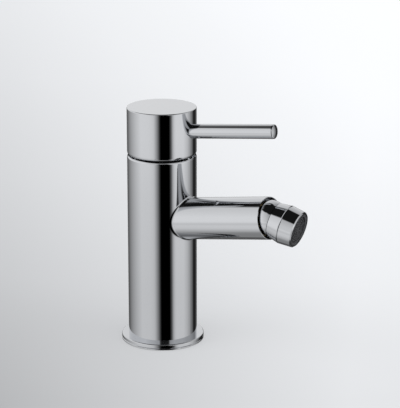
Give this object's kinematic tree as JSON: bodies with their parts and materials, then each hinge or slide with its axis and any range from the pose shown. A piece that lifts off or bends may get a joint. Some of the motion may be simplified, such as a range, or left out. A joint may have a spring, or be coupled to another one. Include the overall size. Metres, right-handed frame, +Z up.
{
  "type": "bidet mixer",
  "caption": "Deck-mounted chromed bidet mixer: round body on a flange, tilting cap with a slim pin lever, rising straight spout and a ball-jointed swivelling aerator.",
  "frame": {"origin": "on the body's axis at the deck plane, at the mouth of the fixing stud's hole", "axes": "+Z up along the body's axis, +X the way the spout points, +Y to the spout's left"},
  "size_m": [0.1194, 0.048, 0.1395],
  "materials": {
    "chrome_plate": "polished",
    "turned_brass": "turned",
    "black_rubber": "matte",
    "white_ceramic": "lapped",
    "grey_plastic": "moulded",
    "white_plastic": "moulded",
    "dark_plastic": "moulded",
    "plain_steel": "plain"
  },
  "bodies": {
    "mixer_body": {"base_gasket": "black_rubber", "base_flange": "chrome_plate", "body": "chrome_plate", "spout_tube": "chrome_plate", "spout_nipple": "turned_brass", "cartridge_base": "grey_plastic", "port_seals": "black_rubber", "fixed_disc": "white_ceramic", "cartridge_housing": "grey_plastic", "retaining_nut": "chrome_plate", "swivel_stud": "turned_brass", "stud_seal": "black_rubber"},
    "rotor": {"rotor": "grey_plastic", "pivot_pin": "plain_steel"},
    "lever": {"stem": "turned_brass", "cap": "chrome_plate", "lever_rod": "chrome_plate", "grub_screw": "plain_steel"},
    "disc": {"moving_disc": "white_ceramic", "disc_driver": "white_plastic"},
    "joint_ring": {"ball_seat_ring": "white_plastic"},
    "aerator": {"ball_shell": "chrome_plate", "ball_seal": "black_rubber", "swivel_sleeve": "chrome_plate", "aerator_washer": "black_rubber", "aerator_housing": "chrome_plate", "aerator_insert": "grey_plastic", "aerator_grille": "dark_plastic"}
  },
  "joints": [
    {"name": "lever_turn", "type": "hinge", "parent": "mixer_body", "child": "rotor", "pos_m": [0, 0, 0.1178], "axis": [0, 0, 1], "range_deg": [-58.4, 41.6]},
    {"name": "lever_lift", "type": "hinge", "parent": "rotor", "child": "lever", "pos_m": [0, 0, 0.1178], "axis": [0.1461, -0.9893, 0], "range_deg": [0, 20]},
    {"name": "disc_slide", "type": "slide", "parent": "rotor", "child": "disc", "axis": [0.9893, 0.1461, 0], "range_m": [0, 0.0071]},
    {"name": "aerator_swivel", "type": "hinge", "parent": "mixer_body", "child": "joint_ring", "pos_m": [0.07502, 0, 0.08636], "axis": [0.9845, 0, 0.1754], "continuous": true},
    {"name": "aerator_tilt", "type": "hinge", "parent": "joint_ring", "child": "aerator", "pos_m": [0.07502, 0, 0.08636], "axis": [0.0542, -0.9511, -0.3042], "range_deg": [0, 50]}
  ],
  "couplings": [
    {"joint": "disc_slide", "follows": "lever_lift", "m_per_rad": 0.020268}
  ]
}
